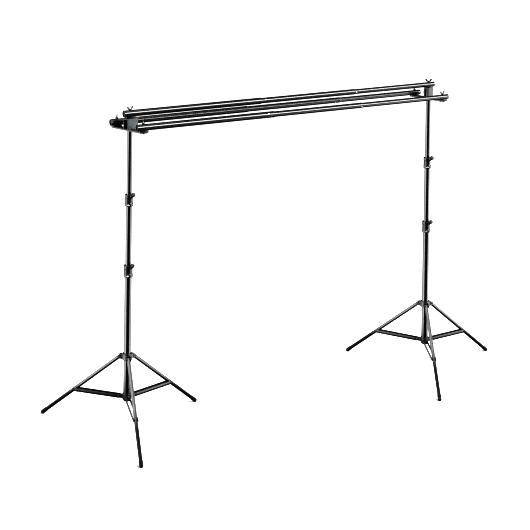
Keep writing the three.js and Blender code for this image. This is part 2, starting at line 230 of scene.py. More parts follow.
def carved(name, body, cutters, crease, use_self=False):
    """The body's mesh with its modifiers applied and the cutters taken away."""
    tools = [heap(f"{name}_cutter_{index}", [build]) for index, build in enumerate(cutters)]
    for tool in tools:
        cut = body.modifiers.new("cut", "BOOLEAN")
        cut.operation = "DIFFERENCE"
        cut.solver = "EXACT"
        cut.use_self = use_self
        cut.object = tool
    bpy.context.view_layer.update()
    graph = bpy.context.evaluated_depsgraph_get()
    mesh = bpy.data.meshes.new_from_object(body.evaluated_get(graph))
    for used in (body, *tools):
        bpy.data.objects.remove(used)
    mesh.name = name
    mesh.shade_smooth()
    mesh.set_sharp_from_angle(angle=math.radians(crease))
    return mesh


def machined(name, solids, cutters):
    """Solids joined and cut with crisp edges."""
    return carved(name, heap(name, solids), cutters, 30, use_self=len(solids) > 1)


def moulded(name, solids, cutters, voxel=0.8, smooth=5):
    """Solids melted into one body with soft fillets, then cut: the look of a moulding."""
    body = heap(name, solids)
    remesh = body.modifiers.new("melt", "REMESH")
    remesh.mode = "VOXEL"
    remesh.voxel_size = voxel * MM
    remesh.use_smooth_shade = True
    relax = body.modifiers.new("relax", "SMOOTH")
    relax.factor = 0.5
    relax.iterations = smooth
    return carved(name, body, cutters, 40)


def cylinder(radius, start, end, matrix=None, segments=48):
    """A builder of a round bar along local Z, for moulded() to melt or cut with."""
    def build(bm):
        first = len(bm.verts)
        add_turned(bm, [(radius, start), (radius, end)], segments)
        move_new(bm, first, matrix)
    return build


def revolved(profile, segments=64):
    """A builder of a profile turned about Z."""
    return lambda bm: add_turned(bm, profile, segments)


def prism(outline, bottom, top, edge=0.5, matrix=None):
    """A builder of an outline stood up along Z."""
    return lambda bm: add_prism(bm, outline, bottom, top, edge, matrix)


# ---------------------------------------------------------------- materials

class Tree:
    """A node tree: each method adds a node and gives its output. An input is a number or an output."""

    def __init__(self, owner):
        self.nodes, self.links = owner.nodes, owner.links

    def feed(self, socket, value):
        if hasattr(value, "is_linked"):
            self.links.new(value, socket)
        else:
            socket.default_value = value

    def add(self, kind, output, inputs, **settings):
        node = self.nodes.new(kind)
        for key, value in settings.items():
            setattr(node, key, value)
        for key, value in inputs.items():
            self.feed(node.inputs[key], value)
        return node.outputs[output]

    def __call__(self, operation, *values):
        return self.add("ShaderNodeMath", "Value", dict(enumerate(values)), operation=operation)

    def dot(self, first, second):
        return self.add("ShaderNodeVectorMath", "Value", {0: first, 1: second}, operation="DOT_PRODUCT")

    def ramp(self, value, start, end):
        """Eases from 0 at start to 1 at end."""
        ends = {"Value": value, "From Min": start, "From Max": end}
        return self.add("ShaderNodeMapRange", "Result", ends, interpolation_type="SMOOTHSTEP")

    def spread(self, value, low, high, start=0.3, end=0.7):
        """Maps value from start..end to low..high."""
        ends = {"Value": value, "From Min": start, "From Max": end, "To Min": low, "To Max": high}
        return self.add("ShaderNodeMapRange", "Result", ends)

    def noise(self, place, scale, stretch=(1, 1, 1), detail=4.0):
        stretched = self.add("ShaderNodeMapping", "Vector", {"Vector": place, "Scale": stretch})
        settings = {"Vector": stretched, "Scale": scale, "Detail": detail}
        return self.add("ShaderNodeTexNoise", "Fac", settings)

    def mix(self, share, first, second):
        colours = {"Factor": share, "A": first, "B": second}
        node = self.nodes.new("ShaderNodeMix")
        node.data_type = "RGBA"
        for key, value in colours.items():
            self.feed(node.inputs[key], (*value, 1) if isinstance(value, tuple) else value)
        return node.outputs["Result"]

    def eased_normal(self, edge_mm):
        return self.add("ShaderNodeBevel", "Normal", {"Radius": edge_mm * MM}, samples=4)


class Finish(Tree):
    """A Principled material with handling marks: patches in roughness and a slight drift in colour."""

    def __init__(self, name, colour, roughness, metallic=0.0, speck=0.02, specular=0.5, coat=0.0):
        self.material = bpy.data.materials.new(name)
        self.material.use_nodes = True
        super().__init__(self.material.node_tree)
        self.inputs = self.nodes["Principled BSDF"].inputs
        self.place = self.add("ShaderNodeTexCoord", "Object", {})
        patches = self.grain(38, detail=6)
        rough = self.spread(patches, roughness * 0.75, min(1.0, roughness * 1.35))
        paler = tuple(min(1.0, c * 1.25 + speck) for c in colour)
        drift = self.spread(self.grain(9, detail=3), 0, 1)
        for key, value in {
            "Base Color": self.mix(drift, colour, paler), "Roughness": rough, "Metallic": metallic,
            "Specular IOR Level": specular, "Coat Weight": coat, "Coat Roughness": 0.12,
        }.items():
            self.feed(self.inputs[key], value)

    def grain(self, scale, stretch=(1, 1, 1), detail=4.0):
        return self.noise(self.place, scale, stretch, detail)

    def overlay(self, share, colour):
        """Lays a colour over the finish where share is high."""
        socket = self.inputs["Base Color"]
        self.feed(socket, self.mix(share, socket.links[0].from_socket, colour))

    def bump(self, height, strength, depth_mm, edge_mm=0.35):
        """Bump from a height field over edges eased by edge_mm."""
        self.feed(self.inputs["Normal"], self.add("ShaderNodeBump", "Normal", {
            "Strength": strength, "Distance": depth_mm * MM, "Height": height,
            "Normal": self.eased_normal(edge_mm)}))

    def wear_and_highlight(self, edge_wear_and_highlight, amount, edge_mm=0.7):
        """Paler edges found by comparing the true and the eased normal: chipped wear where handling rubs,
        and with a light colour a painted highlight along the edges.
        """
        true = self.add("ShaderNodeNewGeometry", "Normal", {})
        edge = self.spread(self.dot(self.eased_normal(edge_mm), true), amount, 0, 0.75, 0.97)
        broken = self.spread(self.grain(260, detail=5), 0, 1, 0.42, 0.6)
        self.overlay(self("MULTIPLY", edge, broken), edge_wear_and_highlight)


def coated_tube(name, roughness, dulled=None):
    """Gloss black coating on tube drawn along local Z: faint draw lines and rubbed streaks.

    dulled is a range of metres along local Z over which the gloss is taken away: a painted shade that
    darkens the tube beyond it.
    """
    gloss = {"Specular IOR Level": (0.8, 0.12), "Coat Weight": (0.35, 0.0)}
    made = Finish(name, (0.004, 0.004, 0.0045), roughness, speck=0.0015,
                  specular=gloss["Specular IOR Level"][0], coat=gloss["Coat Weight"][0])
    stretch = (1.0, 1.0, 0.02)
    made.bump(made.grain(900, stretch, detail=3), 0.03, 0.01)
    made.overlay(made.spread(made.grain(240, stretch, detail=6), 0, 0.5, 0.62, 0.75), (0.014, 0.014, 0.015))
    # Painted shade: the specular and the coat fade out along local Z, so the tube reads darker past dulled.
    if dulled:
        down = made.add("ShaderNodeSeparateXYZ", "Z", {"Vector": made.place})
        for key, (full, dull) in gloss.items():
            made.feed(made.inputs[key], made.spread(down, full, dull, *dulled))
    return made.material


def moulded_plastic(name, colour, roughness, grain=700, coat=0.0):
    """Black plastic with a fine spark-eroded grain."""
    made = Finish(name, colour, roughness, speck=0.003, coat=coat)
    made.bump(made.grain(grain, detail=2), 0.15, 0.05)
    made.wear_and_highlight((0.05, 0.05, 0.052), 0.5)
    return made.material


def rubber(name):
    """Matt black rubber with a fine crumb and a little dust."""
    made = Finish(name, (0.005, 0.005, 0.005), 0.6, speck=0.003, specular=0.3)
    made.bump(made.grain(520, detail=8), 0.6, 0.1)
    made.overlay(made.spread(made.grain(120, detail=8), 0, 0.35, 0.55, 0.75), (0.03, 0.028, 0.026))
    return made.material


def painted(name, colour, roughness, edge_wear_and_highlight=(0.22, 0.22, 0.23), peel=260, specular=0.5, coat=0.15):
    """Sprayed paint with orange peel and paler edges: chipped to metal on most pieces, a painted highlight
    on the grey block's lips.
    """
    made = Finish(name, colour, roughness, speck=0.004, specular=specular, coat=coat)
    made.bump(made.grain(peel, detail=1), 0.18, 0.08)
    made.wear_and_highlight(edge_wear_and_highlight, 0.55)
    return made.material


def plated(name, colour, roughness):
    """Bright zinc plate with fine turning marks and a slight bloom."""
    made = Finish(name, colour, roughness, metallic=1.0)
    made.bump(made.grain(1400, detail=2), 0.25, 0.02, 0.25)
    return made.material


LOOKS = {
    "column": (coated_tube("gloss_black_column", 0.2), "tube_black"),
    "bar": (coated_tube("gloss_black_crossbar", 0.2), "tube_black"),
    "leg": (coated_tube("gloss_black_leg", 0.27, (0.26, 0.36)), "tube_black"),
    "clamp": (moulded_plastic("clamp_nylon", (0.005, 0.005, 0.0055), 0.24, coat=0.2), "clamp_black"),
    "knob": (moulded_plastic("knob_plastic", (0.007, 0.007, 0.0075), 0.3, 900), "knob_black"),
    "bush": (moulded_plastic("bush_acetal", (0.02, 0.02, 0.021), 0.5, 500), "clamp_black"),
    "strap": (painted("strap_enamel", (0.004, 0.004, 0.0045), 0.24), "strap_black"),
    "rivet": (painted("rivet_black_zinc", (0.008, 0.008, 0.008), 0.3, (0.12, 0.12, 0.12)), "strap_black"),
    "rubber": (rubber("foot_rubber_black"), "foot_rubber"),
    # The block's pale edge colour (0.4) is a painted highlight along its top and bottom lips.
    "block": (painted("bracket_grey_paint", (0.085, 0.093, 0.1), 0.4, (0.4, 0.41, 0.42), 420, 0.3, 0.0),
              "block_grey"),
    "arm": (painted("bracket_black_paint", (0.008, 0.008, 0.009), 0.34), "arm_black"),
    "nut": (painted("wing_nut_black_zinc", (0.008, 0.008, 0.008), 0.32, (0.1, 0.095, 0.09)), "nut_steel"),
    "zinc": (plated("bright_zinc", (0.72, 0.73, 0.75), 0.26), "nut_steel"),
}


def put(name, mesh, look, body, matrix=None, replaces=()):
    """Places a copy of a mesh on a CAD body with its finish."""
    piece = object_from(name, mesh)
    finish, slot = LOOKS[look]
    if not mesh.materials:
        mesh.materials.append(finish)
    if matrix is not None:
        piece.matrix_world = matrix
    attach(piece, body)
    if replaces:
        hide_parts(*replaces)
    return piece


# ---------------------------------------------------------------- small hardware

def thread(radius, start, end, pitch=1.25, depth=0.45):
    """A profile of thread grooves between two heights, drawn as rings, without a helix."""
    count = max(1, round((end - start) / pitch))
    points = []
    for turn in range(count):
        low = start + (end - start) * turn / count
        points += [(radius - depth, low), (radius, low + (end - start) / count / 2)]
    return points


def threaded_rod(name, radius, bottom, top):
    profile = [(0, bottom), (radius - 1, bottom)]
    profile += thread(radius, bottom + 0.8, top - 0.8)
    profile += [(radius - 1, top), (0, top)]
    return lathe(name, profile, 32, crease=80)


def rivet_head(name, radius, height):
    """A domed head with a thin washer under it, standing on z = 0."""
    profile = [(0, 0), (radius * 1.25, 0), (radius * 1.25, 0.4), (radius, 0.45), (radius, 0.7)]
    for step in range(1, 7):
        angle = math.pi / 2 * step / 6
        profile.append((radius * math.cos(angle), 0.7 + (height - 0.7) * math.sin(angle)))
    return lathe(name, profile, 32)


def hex_head(name, corner_radius, height):
    """A hexagon head with chamfered corners and a washer, hanging below z = 0."""
    bm = bmesh.new()
    washer = 0.8
    add_turned(bm, [(corner_radius * 1.15, -washer), (corner_radius * 1.15, 0)], 40)
    add_prism(bm, arc((0, 0), corner_radius, range(0, 360, 60)), -height, -washer, edge=0.6)
    return finish_mesh(name, bm, crease=25)


def fluted_knob(name, radius, length, flutes=6, depth=1.7):
    """A fluted cap with a rounded rim and a dished face, standing on z = 0."""
    bm = bmesh.new()
    levels = [(0.72, 0), (0.86, 0.3), (0.9, 1.4), (0.96, 2.2), (1.0, 3.4), (1.0, length - 2.4),
              (0.97, length - 1.1), (0.9, length - 0.3), (0.8, length), (0.6, length - 0.2),
              (0.5, length - 1.0), (0.3, length - 1.2), (0.01, length - 1.2)]
    rings = []
    for share, height in levels:
        deep = depth * min(1.0, max(0.0, (share - 0.6) / 0.4))

        def wave(angle, deep=deep):
            return -deep * max(0.0, math.cos(flutes * angle)) ** 1.5
        rings.append(circle(radius * share, height, 144, wave))
    add_rings(bm, rings)
    return finish_mesh(name, bm, crease=60)


def wing_nut(name, bore):
    """A forged wing nut: a coned hub and two rounded wings."""
    hub = revolved([(0, 0), (7.4, 0), (7.6, 1.2), (6.6, 7.2), (5.8, 8.2), (0, 8.2)], 48)
    wings = []
    for side in (1, -1):
        outline = [(2.5, 1.4), (7.4, 1.4), (10, 3.4), (13.5, 7.6), (16.6, 12.2)]
        outline += arc((13.4, 14.9), 4.1, range(-30, 151, 20))
        outline += [(7.6, 10.6), (4.6, 8), (2.5, 7.4)]
        turn = Matrix.Rotation(0 if side > 0 else math.pi, 4, "Z")
        wings.append(prism(outline, -2.0, 2.0, 1.0, turn @ STAND_UP))
    return moulded(name, [hub, *wings], [cylinder(bore, -2, 14)], voxel=0.42, smooth=4)


RIVET = rivet_head("rivet_head", 4.0, 2.2)
PIN_HEAD = rivet_head("pin_head", 4.0, 2.2)
SMALL_RIVET = rivet_head("small_rivet_head", 2.6, 1.5)
FLUSH_PIN = turned("flush_pin", [(0, -0.8), (2.8, -0.8), (2.8, 0.35), (0, 0.35)], 32, 0.1)
HEX_HEAD = hex_head("hex_head", 5.6, 4.4)
KNOB_CAP = fluted_knob("knob_cap", 10, 14)
LOCK_KNOB_CAP = fluted_knob("lock_knob_cap", 8.5, 8)
KNOB_SCREW = threaded_rod("knob_screw", 3, -7, 1)
KNOB_COLLAR = turned("knob_collar", [(0, -1.0), (5.6, -1.0), (5.6, 0.2), (0, 0.2)], 40, 0.3)
WING_NUT = wing_nut("wing_nut", 4.2)


# ---------------------------------------------------------------- column

TUBES = {"base": (17.5, 16.0), "middle": (15.0, 13.8), "top": (13.0, 11.8)}
BUSH = {"middle": 15.7, "top": 13.5}
BUSH_LENGTH = 25
CLAMPS = {"lower": ("base", "middle"), "upper": ("middle", "top")}
CLAMP = {"half": 29, "rim_wall": 5.5, "waist_wall": 3, "waist": (-15, -11, 12, 16)}
CLAMP_RIB_TURNS = (70, 115, 160, 205, 250, 290)
CLAMP_SLIT_TURN = 182
CLAMP_RIVETS = {"bearing": -120, "rise": -21.5, "wall": 5.3}
KNOB_TILT = 40
KNOB_AXIS_RISE = 6
SCREW_HOLE_RADIUS = 3.4


def column_axis(side):
    centre = centre_of(f"{side}_base_tube")
    return Vector((centre.x, centre.y, 0))


def height_range(node):
    low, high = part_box(node)
    return low.z / MM, high.z / MM


def clamp_mesh(name, below, above, knob_bearing):
    """The clamp collar about its own centre, with the slanted boss of its knob."""
    half, rim, waist = CLAMP["half"], below + CLAMP["rim_wall"], below + CLAMP["waist_wall"]
    low_rim, waist_low, waist_high, high_rim = CLAMP["waist"]
    body = revolved([
        (0, -half), (rim - 1, -half), (rim, 1 - half), (rim, low_rim), (waist, waist_low),
        (waist, waist_high), (rim, high_rim), (rim, half - 1), (rim - 1.5, half), (0, half),
    ], 96)
    knob_axis = bearing(knob_bearing) @ Matrix.Rotation(math.radians(90 - KNOB_TILT), 4, "Y")
    boss_place = Matrix.Translation((0, 0, KNOB_AXIS_RISE)) @ knob_axis
    solids = [body, cylinder(8, 8, 30.5, boss_place), cylinder(6.6, 30, 32, boss_place)]
    for turn in CLAMP_RIB_TURNS:
        rib = bearing(knob_bearing + turn) @ Matrix.Translation((waist, 0, 0))
        solids.append(prism(rectangle(4.6, 3.6, 1), -17, 18, 0.5, rib))
    slit = bearing(knob_bearing + CLAMP_SLIT_TURN) @ Matrix.Translation((waist, 0, 0))
    cutters = [
        cylinder(below + 0.3, -half - 2, 0.3, segments=96),
        cylinder(above + 0.3, -1, half + 2, segments=96),
        cylinder(SCREW_HOLE_RADIUS, 24, 34, boss_place),
        prism(rectangle(14, 1.8, 0.4), 6, half + 2, 0.1, slit),
    ]
    return moulded(name, solids, cutters, voxel=0.75)


def build_column(side, clamps, lock_screw):
    axis = column_axis(side)
    upright = Matrix.Translation(axis)
    for part, (outer, inner) in TUBES.items():
        body = f"{side}_head" if part == "top" else f"{side}_{part}"
        bottom, top = height_range(f"{side}_{part}_tube")
        mesh = tube(f"{side}_{part}_tube_mesh", outer, inner, bottom, top)
        put(f"{side}_{part}_column_tube", mesh, "column", body, upright, [f"{side}_{part}_tube"])
        if part in BUSH:
            bush = tube(f"{side}_{part}_bush_mesh", BUSH[part], outer + 0.02, bottom, bottom + BUSH_LENGTH)
            put(f"{side}_{part}_slide_bush", bush, "bush", body, upright)
    for level, (below, _) in CLAMPS.items():
        body = f"{side}_{below}"
        _, height = height_range(f"{side}_{below}_tube")
        centre = axis + Vector((0, 0, height * MM))
        put(f"{side}_{level}_clamp_collar", clamps[level], "clamp", body,
            Matrix.Translation(centre), [f"{side}_{level}_clamp"])
        reach = Vector((TUBES[below][0] + CLAMP_RIVETS["wall"], 0, CLAMP_RIVETS["rise"])) * MM
        for label, half_turn in (("front", 0), ("back", 180)):
            turn = bearing(CLAMP_RIVETS["bearing"] + half_turn)
            out = turn @ Vector((1, 0, 0))
            place = facing(out, centre + turn @ reach)
            put(f"{side}_{level}_clamp_rivet_{label}", RIVET, "zinc", body, place)
        put_knob(f"{side}_{level}_clamp_knob", 2.4, KNOB_SCREW)
    put_knob(f"{side}_leg_collar_knob", 0.4, KNOB_SCREW)
    put_knob(f"{side}_bracket_lock_knob", 1.5, lock_screw, LOCK_KNOB_CAP)


def put_knob(node, standoff, screw, cap=KNOB_CAP):
    """A knob on its joint's axis. standoff is from the joint's point to the cap."""
    joint = f"{node}_turn"
    direction = axis_of(joint)
    place = facing(direction, pivot_of(joint) + direction * standoff * MM)
    put(f"{node}_cap", cap, "knob", node, place, [node])
    put(f"{node}_collar", KNOB_COLLAR, "zinc", node, place)
    put(f"{node}_screw", screw, "zinc", node, place)


# ---------------------------------------------------------------- tripod

LEG_BEARINGS = {"inner": 60, "outer": 180, "front": 300}
EAR_OFFSET = 10.8
LEG_RADIUS = 8.6
LEG_WALL = 1.2
LEG_PLUG = 14
LEG_SHORT_OF_FOOT = 4
FOOT_CENTRE_HEIGHT = 8
FOOT_RADIUS = 9.8
FOOT_LENGTH = 26
STRAP = {"half_width": 8, "pad": 2.0, "crown": 1.8, "inside": 9.5, "crown_start": 11, "crown_full": 24}


def radius_and_height(side, joint):
    pivot = pivot_of(joint) - column_axis(side)
    return math.hypot(pivot.x, pivot.y) / MM, pivot.z / MM


COLLAR_PIVOT = radius_and_height("left", "left_front_leg_hinge")
HUB_PIVOT = radius_and_height("left", "left_front_brace_hinge")
PADS = {mount["name"]: Vector(mount["pos_m"]) for mount in frame["record"]["mounts"]}
FOOT_REACH = (PADS["left_front_foot_pad"] - column_axis("left")).length / MM
LEG_RUN = FOOT_REACH - COLLAR_PIVOT[0]
LEG_DROP = COLLAR_PIVOT[1] - FOOT_CENTRE_HEIGHT
LEG_LENGTH = math.hypot(LEG_RUN, LEG_DROP)
BRACE_LENGTH = COLLAR_PIVOT[0] + (COLLAR_PIVOT[1] - HUB_PIVOT[1]) * LEG_RUN / LEG_DROP - HUB_PIVOT[0]


def tripod_bearing(side):
    pivot = pivot_of(f"{side}_inner_leg_hinge") - column_axis(side)
    return math.degrees(math.atan2(pivot.y, pivot.x)) - LEG_BEARINGS["inner"]


def around(turns, build):
    return [build(bearing(turn)) for turn in turns]


def ear_outline(root, pivot, radius, rise=0.0):
    """A lug from root to a round end about the pivot, in the XZ plane of a leg."""
    round_end = arc((pivot, 0), radius, range(-75, 76, 15))
    heel = [(pivot, radius), (root + 4, radius + rise), (root, radius + rise)]
    return [(root, -radius), (pivot, -radius), *round_end, *heel]


def collar_mesh():
    """The leg collar about the height of its pins: a ring, three pairs of ears and the knob's boss."""
    ring = revolved([(0, -13), (22.6, -13), (24.5, -11.5), (24.5, 15.5), (22.5, 19), (0, 19)], 96)
    outline = ear_outline(18.5, COLLAR_PIVOT[0], 10, 3)
    solids = [ring]
    dishes = []
    for turn in LEG_BEARINGS.values():
        for way in (-1, 1):
            place = bearing(turn) @ Matrix.Translation((0, way * EAR_OFFSET, 0)) @ STAND_UP
            solids.append(prism(outline, -1.5, 1.5, 0.4, place))
            on_pin = place @ Matrix.Translation((COLLAR_PIVOT[0], 0, 0))
            solids.append(cylinder(9.8, *sorted((0, -way * 2.6)), on_pin))
            dishes.append(cylinder(7.6, *sorted((-way * 1.5, -way * 4)), on_pin))
        bridge = bearing(turn) @ Matrix.Translation((24.2, 0, 0))
        solids.append(prism(rectangle(4, 22, 1), -12, 12, 0.5, bridge))
    boss = bearing(120) @ Matrix.Translation((0, 0, 3)) @ Matrix.Rotation(math.radians(90), 4, "Y")
    solids.append(cylinder(8, 18, 30, boss))
    cutters = [cylinder(18, -16, 22, segments=96), cylinder(SCREW_HOLE_RADIUS, 22, 32, boss), *dishes]
    cutters += around(LEG_BEARINGS.values(), lambda turn: cylinder(
        3.1, -14, 14, turn @ Matrix.Translation((COLLAR_PIVOT[0], 0, 0)) @ STAND_UP))
    return moulded("leg_collar_mesh", solids, cutters, voxel=0.75, smooth=4)


def hub_mesh(seat):
    """The brace hub about the height of its pins: a cup with a rounded plug and three lugs."""
    cup = revolved([
        (0, seat - 9), (9, seat - 8), (16, seat - 4), (20, seat + 1), (21.5, seat + 5),
        (21.5, 15.5), (20, 17), (0, 17),
    ], 96)
    outline = ear_outline(17, HUB_PIVOT[0], 8)
    solids = [cup]
    for turn in LEG_BEARINGS.values():
        solids.append(prism(outline, -9, 9, 0.8, bearing(turn) @ STAND_UP))
    slots = around(LEG_BEARINGS.values(), lambda turn: prism(
        rectangle(16, 9, 2), -12, 12, 0.3, turn @ Matrix.Translation((HUB_PIVOT[0] + 6, 0, 0))))
    cutters = [cylinder(17.8, seat, 20, segments=96), *slots]
    return moulded("brace_hub_mesh", solids, cutters, voxel=0.75, smooth=4)


def leg_mesh():
    """A leg tube along Z from its pin: a domed end plug, then the tube with rounded lips."""
    end, inner = LEG_LENGTH - LEG_SHORT_OF_FOOT, LEG_RADIUS - LEG_WALL
    dome = arc((0, 0), LEG_RADIUS, range(-90, 1, 10))
    profile = [*dome, (LEG_RADIUS, 0.5), (LEG_RADIUS, end - 0.4), (LEG_RADIUS - 0.4, end)]
    profile += [(inner, end), (inner, LEG_PLUG), (0, LEG_PLUG)]
    return lathe("leg_mesh", profile)


def foot_mesh(leg_place):
    """A ribbed rubber cap on the leg's end, worn flat on the floor, drawn in the leg's own plane."""
    start, bottom = LEG_LENGTH - FOOT_LENGTH, LEG_LENGTH - LEG_SHORT_OF_FOOT - 1
    bore, waist = LEG_RADIUS + 0.3, FOOT_RADIUS - 0.9
    profile = [(0, bottom), (bore, bottom), (bore, start + 0.6), (bore + 0.3, start)]
    profile += [(waist, start), (FOOT_RADIUS - 0.2, start + 0.8)]
    for groove in range(3):
        low = start + 4 + groove * 5
        profile += [(FOOT_RADIUS, low), (waist, low + 0.7), (waist, low + 1.7), (FOOT_RADIUS, low + 2.4)]
    profile += arc((0, LEG_LENGTH), FOOT_RADIUS, range(0, 91, 10))
    bm = bmesh.new()
    add_turned(bm, profile)
    in_millimetres = leg_place.copy()
    in_millimetres.translation /= MM
    bmesh.ops.transform(bm, matrix=in_millimetres, verts=bm.verts)
    everything = [*bm.verts, *bm.edges, *bm.faces]
    cut = bmesh.ops.bisect_plane(
        bm, geom=everything, plane_co=(0, 0, 0), plane_no=(0, 0, -1), clear_outer=True)
    rim = [edge for edge in cut["geom_cut"] if isinstance(edge, bmesh.types.BMEdge)]
    bmesh.ops.contextual_create(bm, geom=rim)
    return finish_mesh("foot_mesh", bm)


def strap_mesh():
    """A strap pressed to a crown between flat round pads, from its hub pin at x = 0, in the XZ plane."""
    half, pad = STRAP["half_width"], STRAP["pad"]
    full_length = BRACE_LENGTH + 2 * half
    near = [0.1, 0.5, 1.3, 2.5, 4, 6, half, 9.5, 11, 13, 15, 17.5, 20, 24]
    stations = near + [full_length / 2] + [full_length - s for s in reversed(near)]
    shares = [math.sin(math.radians(a)) for a in range(-90, 91, 15)]
    rings = []
    for station in stations:
        from_end = min(station, full_length - station)
        width = math.sqrt(half ** 2 - max(0.0, half - from_end) ** 2)
        grown = (from_end - STRAP["crown_start"]) / (STRAP["crown_full"] - STRAP["crown_start"])
        grown = min(1.0, max(0.0, grown))
        crown = STRAP["crown"] * grown * grown * (3 - 2 * grown)
        face = [(share * width, pad - 0.35 * abs(share) ** 8 + crown * (1 - share * share))
                for share in shares]
        easing = 0.3 * width / half
        back = [(width, 0.3), (width - easing, 0), (easing - width, 0), (-width, 0.3)]
        rings.append([(station - half, y, z) for y, z in face + back])
    bm = bmesh.new()
    add_rings(bm, rings)
    bmesh.ops.transform(bm, matrix=STAND_UP, verts=bm.verts)
    return finish_mesh("strap_mesh", bm)


def build_tripod(side, meshes):
    axis = column_axis(side)
    turn = tripod_bearing(side)
    stand = bearing(turn, axis)
    collar = f"{side}_leg_collar"
    base = f"{side}_base"
    put(f"{side}_leg_collar_ring", meshes["collar"], "clamp", collar,
        bearing(turn, axis + Vector((0, 0, COLLAR_PIVOT[1] * MM))), [collar])
    put(f"{side}_brace_hub_cup", meshes["hub"], "clamp", base,
        bearing(turn, axis + Vector((0, 0, HUB_PIVOT[1] * MM))), [f"{side}_brace_hub"])
    for leg, angle in LEG_BEARINGS.items():
        name = f"{side}_{leg}"
        plane = stand @ bearing(angle)
        body = f"{name}_leg"
        put(f"{name}_leg_tube", meshes["leg"], "leg", body, plane @ meshes["leg_place"], [body])
        cap = meshes["foot"].copy()
        cap.transform(plane)
        put(f"{name}_foot_cap", cap, "rubber", body, None, [f"{name}_foot"])
        put_pin(f"{name}_leg_pin", plane, COLLAR_PIVOT, 12.3, collar, meshes["pin"])
        put_brace(name, plane, meshes)


def put_pin(name, plane, pivot, reach, body, pin):
    """A cross pin with a domed head at each end."""
    centre = plane @ Matrix.Translation((pivot[0] * MM, 0, pivot[1] * MM))
    put(name, pin, "rivet", body, centre @ STAND_UP)
    for label, way in (("near", -1), ("far", 1)):
        head = facing((0, way, 0), (0, way * reach * MM, 0))
        put(f"{name}_{label}_head", PIN_HEAD, "rivet", body, centre @ head)


def put_brace(name, plane, meshes):
    body = f"{name}_brace"
    hub = plane @ Matrix.Translation((HUB_PIVOT[0] * MM, 0, HUB_PIVOT[1] * MM))
    outside = STRAP["inside"] + STRAP["pad"]
    for label, way in (("near", -1), ("far", 1)):
        mirror = Matrix.Translation((0, way * STRAP["inside"] * MM, 0))
        if way > 0:
            mirror = mirror @ Matrix.Rotation(math.pi, 4, "X")
        nodes = [body] if way < 0 else []
        put(f"{name}_brace_strap_{label}", meshes["strap"], "strap", body, hub @ mirror, nodes)
        head = facing((0, way, 0), (BRACE_LENGTH * MM, way * outside * MM, 0))
        put(f"{name}_brace_rivet_{label}", PIN_HEAD, "rivet", body, hub @ head)
        spacer = facing((0, way, 0), (BRACE_LENGTH * MM, way * (STRAP["inside"] - 0.6) * MM, 0))
        put(f"{name}_brace_spacer_{label}", meshes["spacer"], "bush", body, hub @ spacer)
    put_pin(f"{name}_brace_pin", plane, HUB_PIVOT, outside, body, meshes["pin"])


# ---------------------------------------------------------------- bracket

BAR_RADII = {"left": 16.0, "middle": 14.0, "right": 12.5}
BAR_WALLS = {"left": 1.4, "middle": 1.2, "right": 1.2}
STUD_RADIUS = 4
SADDLE_LENGTH = 46
SADDLE_WRAP = 52
ARM_SIZE = {"width": 40, "overhang": 20, "thickness": 6}
BLOCK = {"height": 54, "depth": 34, "lip": 4, "step": 1, "wall": 3.5, "socket": 15.5, "bore": 13.3}
BLOCK_SIZES = {"left": (77, 6.5), "right": (48, 2)}
ARM_SCREW_SPREAD = {"along": 4.6, "across": 8.2}
LOCK = axis_of("left_bracket_lock_knob_turn")
SWIVEL = math.degrees(math.atan2(-LOCK.x, LOCK.y))
NUT_BEARINGS = {
    "left": {"top": 12, "rear": 63, "front": 63},
    "right": {"top": -27, "rear": 50, "front": 16},
}


def saddle_mesh(name, bar_radius, rise):
    """A cradle on its seat at z = 0, hollowed to hold a bar whose axis is rise above the seat."""
    hollow = bar_radius + 0.4
    wrap = math.radians(SADDLE_WRAP)
    foot = hollow * math.sin(wrap) + 2.2
    shoulder = rise - hollow * math.cos(wrap)
    seat = arc((0, rise), hollow, range(SADDLE_WRAP - 90, -SADDLE_WRAP - 91, -8))
    outline = [(-foot, 0), (foot, 0), (foot, shoulder - 1), *seat, (-foot, shoulder - 1)]
    half = SADDLE_LENGTH / 2
    bm = bmesh.new()
    add_prism(bm, outline, -half, half, 0.3, ALONG_X)
    return finish_mesh(name, bm)


def block_mesh(name, width, shift, bottom):
    """A box section, open at both ends, with a lip along its top and bottom. Its inside takes the black arm
    paint: painted shade for the hollow seen through the open ends.
    """
    top, depth, lip = bottom + BLOCK["height"], BLOCK["depth"], BLOCK["lip"]
    core_depth = depth - 2 * BLOCK["step"]
    slide = Matrix.Translation((shift, 0, 0))
    solids = [
        prism(rectangle(width - 2 * BLOCK["step"], core_depth, 2.4), bottom + 0.5, top - 0.5, 0.2, slide),
        prism(rectangle(width, depth, 3), bottom, bottom + lip, 0.9, slide),
        prism(rectangle(width, depth, 3), top - lip, top, 0.9, slide),
    ]
    middle = (bottom + top) / 2
    screw = Matrix.Translation((0, 0, middle)) @ Matrix.Rotation(math.radians(-90), 4, "X")
    hollow = rectangle(core_depth - 2 * BLOCK["wall"], BLOCK["height"] - 2 * lip, 2)
    through = Matrix.Translation((shift, 0, middle)) @ ALONG_X
    cutters = [
        prism(hollow, -width, width, 0.1, through),
        cylinder(BLOCK["bore"], bottom - 2, middle, segments=96),
        cylinder(SCREW_HOLE_RADIUS, 10, depth, screw),
    ]
    mesh = machined(name, solids, cutters)
    mesh.materials.append(LOOKS["block"][0])
    # The second slot, the black arm paint, is painted shade on the block's inside faces.
    mesh.materials.append(LOOKS["arm"][0])
    inside_y = core_depth / 2 - BLOCK["wall"] + 0.1
    inside_z = BLOCK["height"] / 2 - lip + 0.1
    for face in mesh.polygons:
        centre = face.center / MM
        if abs(centre.y) < inside_y and abs(centre.z - middle) < inside_z:
            face.material_index = 1
    return mesh


